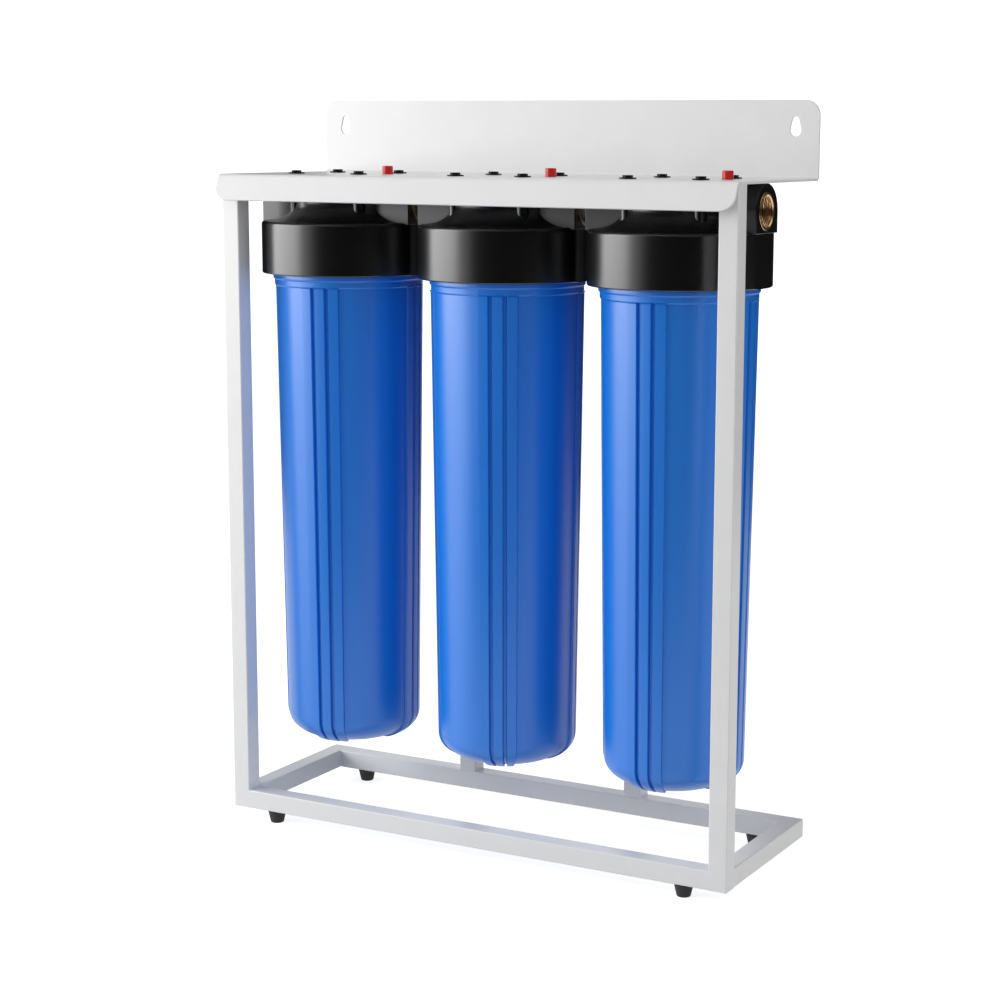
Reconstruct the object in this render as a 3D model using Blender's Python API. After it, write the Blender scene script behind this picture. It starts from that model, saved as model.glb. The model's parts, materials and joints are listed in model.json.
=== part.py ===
"""Three-stage water filter set on a floor stand.

Three large filter housings hang in a row from a folded steel bracket. Each has a black
moulded cap and a blue ribbed sump that unscrews downwards, with its cartridge standing in it.
Short nipples join the caps, so the water runs from the left port to the right one.
The bracket rests on a stand of square tube with four rubber feet.

Lengths are in metres. +X runs from the inlet to the outlet, +Y to the back and +Z up.
The origin is on the floor, under the middle of the whole set.
"""

import math

import bmesh
import bpy
from mathutils import Matrix, Vector

for old in list(bpy.data.objects):
    bpy.data.objects.remove(old)

# Clearances and the overrun of cuts
seam_gap = 0.0003
thread_gap = 0.0010
hole_gap = 0.0004
ring_gap = 0.0006
button_gap = 0.0009
overrun = 0.005

# Cartridge, which sets the size of its housing
cartridge_radius = 0.057
cartridge_length = 0.508
cartridge_bore_radius = 0.0142
cartridge_end_height = 0.0070
cartridge_end_lip = 0.0006

# Sump
water_gap = 0.0081
body_wall = 0.0060
body_taper = 0.0061
bottom_wall = 0.0060
dome_height = 0.0350
dome_flat_radius = 0.0120
seat_ring_wall = 0.0030
seat_depth_share = 0.45
neck_step = 0.0073
neck_recess = 0.0008
collar_height = 0.0070
collar_step = 0.0015
foot_band_height = 0.0050
rib_height = 0.0018
rib_width = 0.0096
rib_pitch = 0.0150
rib_side = 0.0007
rib_end_share = 0.45
rib_groups = 4
ribs_in_group = 3
sump_turns = (math.radians(10.0), math.radians(21.9), math.radians(0.8))

# Seal in the top of the neck
seal_section = 0.00265
seal_groove_depth = 0.0037

# Cap
skirt_wall = 0.0065
skirt_depth = 0.0455
skirt_lip = 0.0015
land_width = 0.0175
land_step = 0.0050
shoulder_wall = 0.0095
shoulder_width = 0.0350
crown_height = 0.0265
crown_wall = 0.0070
crown_top_wall = 0.0120
cap_edge = 0.0035
port_boss_radius = 0.0270
port_flat_step = 0.0020
port_floor_wall = 0.0049
port_passage_radius = 0.0125
port_passage_wall = 0.0040
spigot_length = 0.02145
spigot_radius = 0.0180
screw_inset = 0.0018
screw_boss_radius = 0.0070

# Brass inserts in the ports, and the nipples between the caps
insert_radius = 0.0188
insert_bore_radius = 0.0151
insert_length = 0.0220
nipple_bore_radius = 0.0115
nipple_collar_radius = 0.0164
nipple_setback = 0.0040

# Screws that hold the caps, each with its captive washer
cap_screw_radius = 0.0030
cap_screw_length = 0.0240
cap_screw_head_radius = 0.0052
cap_screw_head_height = 0.0036
washer_radius = 0.0085
washer_thickness = 0.0014

# Pressure relief valve
valve_tower_radius = 0.0115
valve_well_radius = 0.0075
valve_well_depth = 0.0090
valve_seat_depth = 0.0135
valve_seat_radius = 0.0056
button_radius = 0.0063
button_rise = 0.0120
button_skirt = 0.0030
button_edge = 0.0012
stem_radius = 0.0022
stem_head_radius = 0.0046
stem_head_height = 0.0014
spring_wire_radius = 0.00035
spring_radius = 0.0042
spring_turns = 3
relief_ring_radius = 0.0035
relief_ring_section = 0.0009

# Row of housings and the room round it
port_gap = 0.0110
room_beside_caps = 0.0080
room_below_sumps = 0.0962
cap_overhang = 0.0040

# Square tube stand
stand_depth = 0.200
tube_side = 0.020
tube_wall = 0.0015
tube_corner = 0.0022
rear_post_offset = 0.0060

# Rubber feet, whose barbed stems are pushed into the rails
foot_height = 0.0135
foot_top_radius = 0.0098
foot_bottom_radius = 0.0062
foot_edge = 0.0006
foot_inset = 0.050
foot_stem_radius = 0.0030
foot_barb_radius = 0.0042
foot_barb_height = 0.0035

# Folded bracket
sheet = 0.0025
bend_inside = 0.0030
shelf_overhang = 0.0010
lip_drop = 0.0275
lip_lean = math.radians(22)
lip_gap = 0.0005
plate_rise = 0.0780
sheet_corner = 0.0160
keyhole_inset = 0.0260
keyhole_drop = 0.0304
keyhole_radius = 0.0060
keyhole_slot_radius = 0.0037
keyhole_slot_length = 0.0100

# Facets
cap_steps = 26
neck_steps = 24
sump_bore_steps = 20
port_steps = 16
port_arch_steps = 9
passage_steps = 12
cartridge_steps = 12
button_steps = 10
small_steps = 8
shoulder_steps = 3
edge_steps = 2
dome_steps = 4
corner_steps = 5
bend_steps = 3
plain_steps = 3
seal_steps = 4
spring_steps = 7
wire_steps = 3

# Radii of the housing, from the cartridge outwards
body_bottom_radius = cartridge_radius + water_gap + body_wall
body_top_radius = body_bottom_radius + body_taper
mouth_radius = body_top_radius - body_wall
neck_radius = body_top_radius + neck_step
seal_radius = (neck_radius + mouth_radius) / 2
skirt_bore_radius = neck_radius + thread_gap
cap_radius = skirt_bore_radius + skirt_wall
crown_radius = cap_radius - shoulder_width
crown_bore_radius = crown_radius - crown_wall
seat_ring_radius = cartridge_bore_radius + seat_ring_wall

# Heights of the housing, measured from the top of the cap
port_z = -port_boss_radius
ceiling_z = port_z - insert_radius - seam_gap - port_floor_wall
land_z = ceiling_z - land_step
shoulder_z = land_z + shoulder_wall
skirt_z = land_z - skirt_depth
spigot_z = ceiling_z - spigot_length
neck_top_z = land_z - seam_gap - 2 * seal_section - seam_gap + seal_groove_depth
neck_low_z = skirt_z + neck_recess
dome_depth = dome_height - bottom_wall
cartridge_top_z = spigot_z - seam_gap
cartridge_low_z = cartridge_top_z - cartridge_length
seat_ring_z = cartridge_low_z - seam_gap
floor_z = seat_ring_z - dome_depth * (1 - seat_depth_share)
sump_low_z = floor_z - bottom_wall
dome_top_z = sump_low_z + dome_height

# Bracket and stand
half_pitch = cap_radius + port_gap / 2
housing_x = (-2 * half_pitch, 0.0, 2 * half_pitch)
half_stand = 2 * half_pitch + cap_radius + room_beside_caps
half_bracket = half_stand + shelf_overhang
cap_top = room_below_sumps - sump_low_z
shelf_underside = cap_top + seam_gap
shelf_height = shelf_underside + sheet
plate_top = shelf_height + plate_rise
bend_outside = bend_inside + sheet
lip_down = Vector((-math.sin(lip_lean), -math.cos(lip_lean)))
lip_length = (lip_drop - bend_outside + bend_inside * math.sin(lip_lean)) / math.cos(lip_lean)
lip_reach = lip_gap + bend_outside * math.cos(lip_lean) + lip_length * math.sin(lip_lean)
stand_front = (lip_reach - stand_depth) / 2
stand_back = stand_front + stand_depth
housing_y = stand_front + cap_radius - cap_overhang
base_top = foot_height + tube_side
valve_x = crown_bore_radius
half_screws = (crown_radius - screw_inset) * math.sqrt(0.5)
screw_spots = [(dx, dy) for dx in (-half_screws, half_screws) for dy in (-half_screws, half_screws)]

stages = ("left", "middle", "right")
full_turn = 2 * math.pi
quarter_turn = math.pi / 2

# Base colour, roughness and metallic value of each finish
finishes = {
    "powder_coat": ((0.80, 0.80, 0.80), 0.35, 0.0),
    "black_plastic": ((0.020, 0.020, 0.022), 0.38, 0.0),
    "blue_plastic": ((0.015, 0.135, 0.560), 0.25, 0.0),
    "red_plastic": ((0.650, 0.020, 0.015), 0.35, 0.0),
    "brass": ((0.780, 0.570, 0.300), 0.30, 1.0),
    "nickel_brass": ((0.700, 0.680, 0.640), 0.28, 1.0),
    "blackened_steel": ((0.060, 0.060, 0.065), 0.45, 0.8),
    "spring_steel": ((0.620, 0.620, 0.630), 0.30, 1.0),
    "black_rubber": ((0.025, 0.025, 0.025), 0.75, 0.0),
    "spun_polypropylene": ((0.850, 0.850, 0.820), 0.90, 0.0),
    "carbon_block": ((0.070, 0.070, 0.070), 0.85, 0.0),
}


def make_finish(name):
    """One Principled material."""
    colour, roughness, metallic = finishes[name]
    material = bpy.data.materials.new(name)
    material.use_nodes = True
    shader = material.node_tree.nodes["Principled BSDF"]
    shader.inputs["Base Color"].default_value = (*colour, 1.0)
    shader.inputs["Roughness"].default_value = roughness
    shader.inputs["Metallic"].default_value = metallic
    material.diffuse_color = (*colour, 1.0)
    return material


# Outlines
def arc(centre, radii, start, end, steps):
    """Points of an arc or ellipse, from its centre, its two radii and two angles in degrees."""
    points = []
    for step in range(steps + 1):
        angle = math.radians(start + (end - start) * step / steps)
        points.append((centre[0] + radii[0] * math.cos(angle), centre[1] + radii[1] * math.sin(angle)))
    return points


def circle(centre, radius, steps):
    """Points of a whole circle, each given once."""
    return arc(centre, (radius, radius), 0, 360, steps)[:-1]


# Meshes
def shade(mesh):
    """Smooth shading with sharp edges where the faces meet at a real corner."""
    mesh.shade_smooth()
    mesh.set_sharp_from_angle(angle=math.radians(35))
    return mesh


def finish_mesh(shape, name):
    """Turn a bmesh into a mesh whose faces point outwards."""
    bmesh.ops.recalc_face_normals(shape, faces=shape.faces)
    mesh = bpy.data.meshes.new(name)
    shape.to_mesh(mesh)
    shape.free()
    return shade(mesh)


def turned(name, outline, steps):
    """Spin a closed outline of (radius, height) points about the Z axis."""
    shape = bmesh.new()
    corners = [shape.verts.new((radius, 0, height)) for radius, height in outline]
    for i, corner in enumerate(corners):
        if corners[i - 1].co.x > 0 or corner.co.x > 0:
            shape.edges.new((corners[i - 1], corner))
    bmesh.ops.spin(shape, geom=shape.verts[:] + shape.edges[:], axis=(0, 0, 1), cent=(0, 0, 0),
                   angle=full_turn, steps=steps, use_merge=True, use_duplicate=False)
    bmesh.ops.remove_doubles(shape, verts=shape.verts, dist=seam_gap / 10)
    return finish_mesh(shape, name)


def frame_at(origin, across, up):
    """A frame whose first two axes carry a flat outline, and whose third is square to it."""
    across = Vector(across).normalized()
    up = Vector(up).normalized()
    frame = Matrix((across, up, across.cross(up))).transposed().to_4x4()
    frame.translation = Vector(origin)
    return frame


def extruded(name, outline, length, frame):
    """Extrude a flat outline along the third axis of its frame, half to each side."""
    shape = bmesh.new()
    face = shape.faces.new([shape.verts.new((u, v, -length / 2)) for u, v in outline])
    swept = bmesh.ops.extrude_face_region(shape, geom=[face])
    far_side = [item for item in swept["geom"] if isinstance(item, bmesh.types.BMVert)]
    bmesh.ops.translate(shape, verts=far_side, vec=(0, 0, length))
    bmesh.ops.transform(shape, matrix=frame, verts=shape.verts)
    return finish_mesh(shape, name)


def rod(name, centre, radius, start, end, steps, axis="Z"):
    """A round rod along X or Z, between two places on that axis."""
    if axis == "X":
        frame = frame_at(((start + end) / 2, *centre), (0, 1, 0), (0, 0, 1))
    else:
        frame = frame_at((*centre, (start + end) / 2), (1, 0, 0), (0, 1, 0))
    return extruded(name, circle((0, 0), radius, steps), abs(end - start), frame)


def joined(name, meshes):
    """Put separate closed shapes into one mesh."""
    shape = bmesh.new()
    for mesh in meshes:
        shape.from_mesh(mesh)
    return finish_mesh(shape, name)


def copies(name, mesh, offsets):
    """One mesh that holds a copy of another at each offset."""
    shape = bmesh.new()
    for offset in offsets:
        known = set(shape.verts)
        shape.from_mesh(mesh)
        added = [vertex for vertex in shape.verts if vertex not in known]
        bmesh.ops.translate(shape, verts=added, vec=offset)
    return finish_mesh(shape, name)


def carved(name, body, steps):
    """Join tools to a body or cut them from it, in order, and return the new mesh."""
    carrier = bpy.data.objects.new(name, body)
    bpy.context.scene.collection.objects.link(carrier)
    tools = []
    for operation, mesh in steps:
        tool = bpy.data.objects.new(name + "_tool", mesh)
        tool.hide_render = True
        tool.display_type = "WIRE"
        bpy.context.scene.collection.objects.link(tool)
        modifier = carrier.modifiers.new(operation.lower(), "BOOLEAN")
        modifier.operation = operation
        modifier.solver = "EXACT"
        modifier.object = tool
        tools.append(tool)
    evaluated = carrier.evaluated_get(bpy.context.evaluated_depsgraph_get())
    mesh = bpy.data.meshes.new_from_object(evaluated)
    mesh.name = name
    for piece in tools + [carrier]:
        bpy.data.objects.remove(piece)
    return shade(mesh)


def place(name, mesh, finish, location=(0, 0, 0), turn=0.0):
    """Add one sub-part to the scene. Sub-parts that are alike share their mesh."""
    piece = bpy.data.objects.new(name, mesh)
    piece.location = location
    piece.rotation_euler = (0, 0, turn)
    if not mesh.materials:
        mesh.materials.append(materials[finish])
    bpy.context.scene.collection.objects.link(piece)
    return piece


# Stand
def square_ring(side, corner):
    """Outline of a square tube, with a small flat across each corner."""
    half = side / 2
    inner = half - corner
    points = [(half, -inner), (half, inner), (inner, half), (-inner, half)]
    return points + [(-y, -z) for y, z in points]


def tube_mesh(name, length, start_slant=0.0, end_slant=0.0):
    """A square tube along X, whose ends can be mitred by a slant of 1 or -1."""
    shape = bmesh.new()
    rings = []
    inner_corner = max(tube_corner - tube_wall, seam_gap)
    for x, slant in ((0, start_slant), (length, end_slant)):
        for side, corner in ((tube_side, tube_corner), (tube_side - 2 * tube_wall, inner_corner)):
            rings.append([shape.verts.new((x + slant * y, y, z)) for y, z in square_ring(side, corner)])
    outer_start, inner_start, outer_end, inner_end = rings
    pairs = [(outer_start, outer_end), (inner_end, inner_start)]
    pairs += [(inner_start, outer_start), (outer_end, inner_end)]
    for first, second in pairs:
        for i in range(len(first)):
            shape.faces.new((first[i - 1], first[i], second[i], second[i - 1]))
    return finish_mesh(shape, name)


def add_tube(name, mesh, start, direction):
    """Place a tube with its length along a direction."""
    piece = place(name, mesh, "powder_coat", start)
    piece.rotation_euler = Vector(direction).to_track_quat("X", "Z").to_euler()


def make_stand():
    half_tube = tube_side / 2
    rail_z = foot_height + half_tube
    post_x = half_stand - half_tube
    front_y = stand_front + half_tube
    back_y = stand_back - half_tube
    post_top = shelf_underside - seam_gap
    rear_post_x = half_pitch + rear_post_offset
    rail_start = stand_front + tube_side + seam_gap
    for side, sign in (("left", -1), ("right", 1)):
        post = tube_mesh(f"front_{side}_post", post_top - foot_height)
        add_tube(post.name, post, (sign * post_x, front_y, foot_height), (0, 0, 1))
        post = tube_mesh(f"rear_{side}_post", post_top - base_top - seam_gap)
        add_tube(post.name, post, (sign * rear_post_x, back_y, base_top + seam_gap), (0, 0, 1))
        rail = tube_mesh(f"base_{side}_rail", back_y - seam_gap - rail_start, 0, -sign)
        add_tube(rail.name, rail, (sign * post_x, rail_start, rail_z), (0, 1, 0))
    front_end = post_x - half_tube - seam_gap
    drill_x = half_stand - foot_inset
    front = ("base_front_rail", tube_mesh("base_front_rail", 2 * front_end), front_end, front_y)
    rear = ("base_rear_rail", tube_mesh("base_rear_rail", 2 * post_x, -1, 1), post_x, back_y)
    for name, mesh, end, y in (front, rear):
        drill = rod("drill", (end - drill_x, 0), foot_stem_radius + hole_gap, -half_tube - overrun,
                    -half_tube + tube_wall + overrun, small_steps)
        drills = copies("drills", drill, [(0, 0, 0), (2 * drill_x, 0, 0)])
        add_tube(name, carved(name, mesh, [("DIFFERENCE", drills)]), (-end, y, rail_z), (1, 0, 0))


# Feet
def make_feet():
    seat = foot_height - seam_gap
    barb = foot_height + tube_wall + seam_gap
    outline = [(0, 0), (foot_bottom_radius - foot_edge, 0), (foot_bottom_radius, foot_edge),
               (foot_top_radius, seat), (foot_stem_radius, seat), (foot_stem_radius, barb),
               (foot_barb_radius, barb), (foot_stem_radius, barb + foot_barb_height),
               (0, barb + foot_barb_height)]
    foot = turned("foot", outline, button_steps)
    for end, y in (("front", stand_front + tube_side / 2), ("rear", stand_back - tube_side / 2)):
        for side, sign in (("left", -1), ("right", 1)):
            place(f"{end}_{side}_foot", foot, "black_rubber", (sign * (half_stand - foot_inset), y, 0))


# Bracket
def bracket_outline():
    """Section of the folded sheet in the (y, z) plane, from the lip over the shelf to the plate."""
    front_bend = (stand_front - lip_gap, shelf_height - bend_outside)
    rear_bend = (stand_back - bend_outside, shelf_height + bend_inside)
    lip_angle = 180 - math.degrees(lip_lean)
    sides = []
    for front, rear, plate_y in ((bend_outside, bend_inside, stand_back - sheet),
                                 (bend_inside, bend_outside, stand_back)):
        fold = arc(front_bend, (front, front), lip_angle, 90, bend_steps)
        tip = Vector(fold[0]) + lip_length * lip_down
        side = [tuple(tip)] + fold + arc(rear_bend, (rear, rear), 270, 360, bend_steps)
        sides.append(side + [(plate_y, plate_top)])
    return sides[0] + sides[1][::-1]


def corner_cutter(corner, inwards, along):
    """What lies outside a round corner of the sheet, given the two directions away from it."""
    rounding = arc((sheet_corner, sheet_corner), (sheet_corner, sheet_corner), 270, 180, corner_steps)
    outline = [(-overrun, -overrun), (sheet_corner, -overrun)] + rounding + [(-overrun, sheet_corner)]
    return extruded("corner", outline, 4 * sheet, frame_at(corner, inwards, along))


def keyhole_cutter(x):
    """A round hole that narrows to a small round end above it, for hanging on a screw head."""
    side = math.degrees(math.asin((keyhole_radius - keyhole_slot_radius) / keyhole_slot_length))
    outline = arc((0, 0), (keyhole_radius, keyhole_radius), 180 - side, 360 + side, button_steps)
    outline += arc((0, keyhole_slot_length), (keyhole_slot_radius, keyhole_slot_radius), side, 180 - side,
                   bend_steps)
    centre = (x, stand_back - sheet / 2, plate_top - keyhole_drop)
    return extruded("keyhole", outline, 4 * sheet, frame_at(centre, (1, 0, 0), (0, 0, 1)))


def make_bracket():
    outline = bracket_outline()
    folded = extruded("top_bracket", outline, 2 * half_bracket, frame_at((0, 0, 0), (0, 1, 0), (0, 0, 1)))
    cutters = []
    lip_y, lip_z = outline[0]
    for sign in (-1, 1):
        edge = sign * half_bracket
        cutters.append(corner_cutter((edge, stand_back, plate_top), (-sign, 0, 0), (0, 0, -1)))
        cutters.append(corner_cutter((edge, lip_y, lip_z), (-sign, 0, 0), (0, *-lip_down)))
        cutters.append(keyhole_cutter(sign * (half_bracket - keyhole_inset)))
    low = shelf_underside - sheet
    high = shelf_height + sheet
    screw_hole = rod("screw_hole", (0, housing_y), cap_screw_radius + hole_gap, low, high, small_steps)
    valve_hole = rod("valve_hole", (valve_x, housing_y), button_radius + button_gap, low, high, button_steps)
    screw_places = [(x + dx, dy, 0) for x in housing_x for dx, dy in screw_spots]
    cutters.append(copies("screw_holes", screw_hole, screw_places))
    cutters.append(copies("valve_holes", valve_hole, [(x, 0, 0) for x in housing_x]))
    mesh = carved("top_bracket", folded, [("DIFFERENCE", joined("cuts", cutters))])
    place("top_bracket", mesh, "powder_coat")


# Cap
def cap_blank():
    """The turned outside: crown, hollow shoulder and skirt."""
    shoulder_end = cap_radius - cap_edge
    shoulder = arc((shoulder_end, -crown_height), (shoulder_end - crown_radius, -crown_height - shoulder_z),
                   180, 270, shoulder_steps)
    edge = arc((shoulder_end, shoulder_z - cap_edge), (cap_edge, cap_edge), 90, 0, edge_steps)
    outline = [(0, 0), (crown_radius, 0)] + shoulder + edge[1:]
    outline += [(cap_radius, skirt_z + skirt_lip), (cap_radius - skirt_lip, skirt_z), (0, skirt_z)]
    return turned("cap", outline, cap_steps)


def cap_hollow():
    """The room under the cap: skirt bore, sealing land, chamber and the space in the crown."""
    chamber = skirt_bore_radius - land_width
    return turned("hollow", [(0, skirt_z - overrun), (skirt_bore_radius, skirt_z - overrun),
                             (skirt_bore_radius, land_z), (chamber, land_z), (chamber, ceiling_z),
                             (crown_bore_radius, ceiling_z), (crown_bore_radius, -crown_top_wall),
                             (0, -crown_top_wall)], cap_steps)


def port_bar():
    """The arched bar that carries both ports, with its round top level with the crown."""
    foot = shoulder_z - cap_edge / 2
    outline = arc((0, port_z), (port_boss_radius, port_boss_radius), 0, 180, port_arch_steps)
    outline += [(-port_boss_radius, foot), (port_boss_radius, foot)]
    return extruded("port_bar", outline, 2 * cap_radius, frame_at((0, 0, 0), (0, 1, 0), (0, 0, 1)))


def skirt_flat(sign):
    """What is cut from the skirt to leave the flat under a port."""
    low = skirt_z - overrun
    high = shoulder_z - cap_edge / 2 - seam_gap
    outline = [(-cap_radius, low), (cap_radius, low), (cap_radius, high), (-cap_radius, high)]
    centre = (sign * (cap_radius - port_flat_step + overrun), 0, 0)
    return extruded("flat", outline, 2 * overrun, frame_at(centre, (0, 1, 0), (0, 0, 1)))


def make_caps():
    pocket_end = cap_radius - insert_length - seam_gap
    pocket = insert_radius + seam_gap
    boss_top = -seam_gap
    elbow_z = port_z + port_passage_radius / 2
    boss = rod("screw_boss", (0, 0), screw_boss_radius, shoulder_z, boss_top, small_steps)
    pilot = rod("pilot", (0, 0), cap_screw_radius + hole_gap, -cap_screw_length, overrun, small_steps)
    tower = rod("valve_tower", (valve_x, 0), valve_tower_radius, elbow_z, boss_top, passage_steps)
    passage = rod("passage", (0, port_z), port_passage_radius + port_passage_wall,
                  port_passage_wall - spigot_radius, crown_bore_radius + crown_wall / 2, passage_steps, "X")
    spigot = rod("spigot", (0, 0), spigot_radius, spigot_z, elbow_z, passage_steps)
    left_pocket = rod("pocket", (0, port_z), pocket, -cap_radius - overrun, -pocket_end, port_steps, "X")
    right_pocket = rod("pocket", (0, port_z), pocket, pocket_end, cap_radius + overrun, port_steps, "X")
    inlet = rod("inlet", (0, port_z), port_passage_radius, -pocket_end - overrun,
                overrun - crown_bore_radius, passage_steps, "X")
    outlet = rod("outlet", (0, port_z), port_passage_radius, -port_passage_radius / 2,
                 pocket_end + overrun, passage_steps, "X")
    drop = rod("drop", (0, 0), port_passage_radius, spigot_z - overrun, elbow_z, passage_steps)
    well = rod("well", (valve_x, 0), valve_well_radius, -valve_well_depth, overrun, button_steps)
    seat = rod("seat", (valve_x, 0), valve_seat_radius, elbow_z, -valve_seat_depth, small_steps)
    stem_hole = rod("stem_hole", (valve_x, 0), stem_radius + hole_gap, -valve_seat_depth - seam_gap,
                    seam_gap - valve_well_depth, small_steps)
    bosses = copies("bosses", boss, [(*spot, 0) for spot in screw_spots])
    pilots = copies("pilots", pilot, [(*spot, 0) for spot in screw_spots])
    steps = [("UNION", port_bar()), ("UNION", bosses), ("DIFFERENCE", cap_hollow())]
    steps += [("UNION", tool) for tool in (tower, passage, spigot)]
    steps += [("DIFFERENCE", tool) for tool in (skirt_flat(-1), skirt_flat(1), left_pocket, right_pocket,
                                                inlet, outlet, drop, well, seat, stem_hole, pilots)]
    mesh = carved("cap", cap_blank(), steps)
    for stage, x in zip(stages, housing_x):
        place(f"{stage}_cap", mesh, "black_plastic", (x, housing_y, cap_top))


# Port fittings
def along_x(mesh):
    """Turn a piece made about Z so that it lies along X."""
    mesh.transform(Matrix.Rotation(quarter_turn, 4, "Y"))
    return mesh


def make_inserts():
    start = cap_radius - insert_length
    outline = [(insert_bore_radius, start), (insert_radius, start),
               (insert_radius, cap_radius), (insert_bore_radius, cap_radius)]
    insert = along_x(turned("insert", outline, port_steps))
    for stage, x in zip(stages, housing_x):
        spot = (x, housing_y, cap_top + port_z)
        place(f"{stage}_outlet_insert", insert, "brass", spot)
        place(f"{stage}_inlet_insert", insert, "brass", spot, math.pi)


def make_nipples():
    half_length = port_gap / 2 + insert_length - nipple_setback
    half_collar = port_gap / 2 - seam_gap
    outer = insert_bore_radius - seam_gap
    outline = [(nipple_bore_radius, -half_length), (outer, -half_length), (outer, -half_collar),
               (nipple_collar_radius, -half_collar), (nipple_collar_radius, half_collar),
               (outer, half_collar), (outer, half_length), (nipple_bore_radius, half_length)]
    nipple = along_x(turned("nipple", outline, port_steps))
    for name, x in (("left_nipple", -half_pitch), ("right_nipple", half_pitch)):
        place(name, nipple, "nickel_brass", (x, housing_y, cap_top + port_z))


# Screws of the caps
def make_cap_screws():
    washer_low = shelf_height + seam_gap - cap_top
    washer_top = washer_low + washer_thickness
    head_top = washer_top + cap_screw_head_height
    tip = washer_low - cap_screw_length
    screw = turned("cap_screw", [(0, head_top), (cap_screw_head_radius, head_top),
                                 (cap_screw_head_radius, washer_top), (washer_radius, washer_top),
                                 (washer_radius, washer_low), (cap_screw_radius, washer_low),
                                 (cap_screw_radius, tip), (0, tip)], small_steps)
    corners = ("front_left", "rear_left", "front_right", "rear_right")
    for stage, x in zip(stages, housing_x):
        for corner, (dx, dy) in zip(corners, screw_spots):
            spot = (x + dx, housing_y + dy, cap_top)
            place(f"{stage}_cap_screw_{corner}", screw, "blackened_steel", spot)


# Pressure relief valve
def coil_mesh(low, high):
    """An open spring, swept along its helix and closed at both ends."""
    shape = bmesh.new()
    rings = []
    count = spring_turns * spring_steps
    for step in range(count + 1):
        angle = full_turn * step / spring_steps
        outwards = Vector((math.cos(angle), math.sin(angle), 0))
        centre = outwards * spring_radius + Vector((0, 0, low + (high - low) * step / count))
        wire = circle((0, 0), spring_wire_radius, wire_steps)
        rings.append([shape.verts.new(centre + outwards * u + Vector((0, 0, v))) for u, v in wire])
    for first, second in zip(rings, rings[1:]):
        for i in range(wire_steps):
            shape.faces.new((first[i - 1], first[i], second[i], second[i - 1]))
    shape.faces.new(rings[0])
    shape.faces.new(rings[-1])
    return finish_mesh(shape, "relief_spring")


def make_relief_valves():
    ring_z = -valve_seat_depth - seam_gap - relief_ring_section
    stem_head_z = ring_z - relief_ring_section - seam_gap
    stem_low = stem_head_z - stem_head_height
    button_top = shelf_height + button_rise - cap_top
    button = turned("button", [(0, button_top), (button_radius - button_edge, button_top),
                               (button_radius, button_top - button_edge), (button_radius, -button_skirt),
                               (stem_radius, -button_skirt), (stem_radius, stem_head_z),
                               (stem_head_radius, stem_head_z), (stem_head_radius, stem_low),
                               (0, stem_low)], button_steps)
    ring_outline = circle((relief_ring_radius, ring_z), relief_ring_section, wire_steps)
    ring = turned("relief_ring", ring_outline, small_steps)
    spring = coil_mesh(seam_gap + spring_wire_radius - valve_well_depth,
                       -button_skirt - seam_gap - spring_wire_radius)
    for stage, x in zip(stages, housing_x):
        spot = (x + valve_x, housing_y, cap_top)
        place(f"{stage}_relief_button", button, "red_plastic", spot)
        place(f"{stage}_relief_o_ring", ring, "black_rubber", spot)
        place(f"{stage}_relief_spring", spring, "spring_steel", spot)


# Sump
def plain_rings():
    """Radius and height of the plain rings from the neck down to the band above the ribs."""
    collar_radius = body_top_radius + rib_height + collar_step
    collar_low = neck_low_z - collar_height
    return [(neck_radius, neck_top_z), (neck_radius, neck_low_z), (collar_radius, neck_low_z),
            (collar_radius, collar_low)]


def ribbed_rings():
    """Ribbed rings of the body, as radius, height and how far a rib stands out and down there."""
    band_low = neck_low_z - collar_height - foot_band_height
    rings = [(body_top_radius + rib_height, band_low, 0, 0),
             (body_top_radius, band_low - rib_height, rib_height, 0)]
    reach = body_bottom_radius - dome_flat_radius
    for step in range(dome_steps + 1):
        angle = quarter_turn * step / dome_steps
        radius = dome_flat_radius + reach * math.cos(angle)
        height = dome_top_z - dome_height * math.sin(angle)
        lean = Vector((math.cos(angle) / reach, math.sin(angle) / dome_height)).normalized()
        rib = rib_height if math.cos(angle) > rib_end_share else 0
        rings.append((radius, height, rib * lean.x, rib * lean.y))
    return rings


def rib_angles():
    """Angles round the sump, each with 1 where it lies on top of a rib and 0 beside it."""
    marks = []
    quarter = full_turn / rib_groups
    half_top = rib_width / 2 / body_top_radius
    half_foot = half_top + rib_side / body_top_radius
    pitch = rib_pitch / body_top_radius
    reach = (ribs_in_group - 1) / 2 * pitch
    for group in range(rib_groups):
        middle = group * quarter - quarter_turn
        for rib in range(ribs_in_group):
            centre = middle - reach + rib * pitch
            marks += [(centre - half_foot, 0), (centre - half_top, 1)]
            marks += [(centre + half_top, 1), (centre + half_foot, 0)]
        plain = quarter - 2 * (reach + half_foot)
        for step in range(1, plain_steps + 1):
            marks.append((middle + reach + half_foot + plain * step / (plain_steps + 1), 0))
    return marks


def skin(shape, rings):
    """Faces between each ring of points and the next."""
    for upper, lower in zip(rings, rings[1:]):
        for i in range(len(upper)):
            shape.faces.new((upper[i - 1], upper[i], lower[i], lower[i - 1]))


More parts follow.
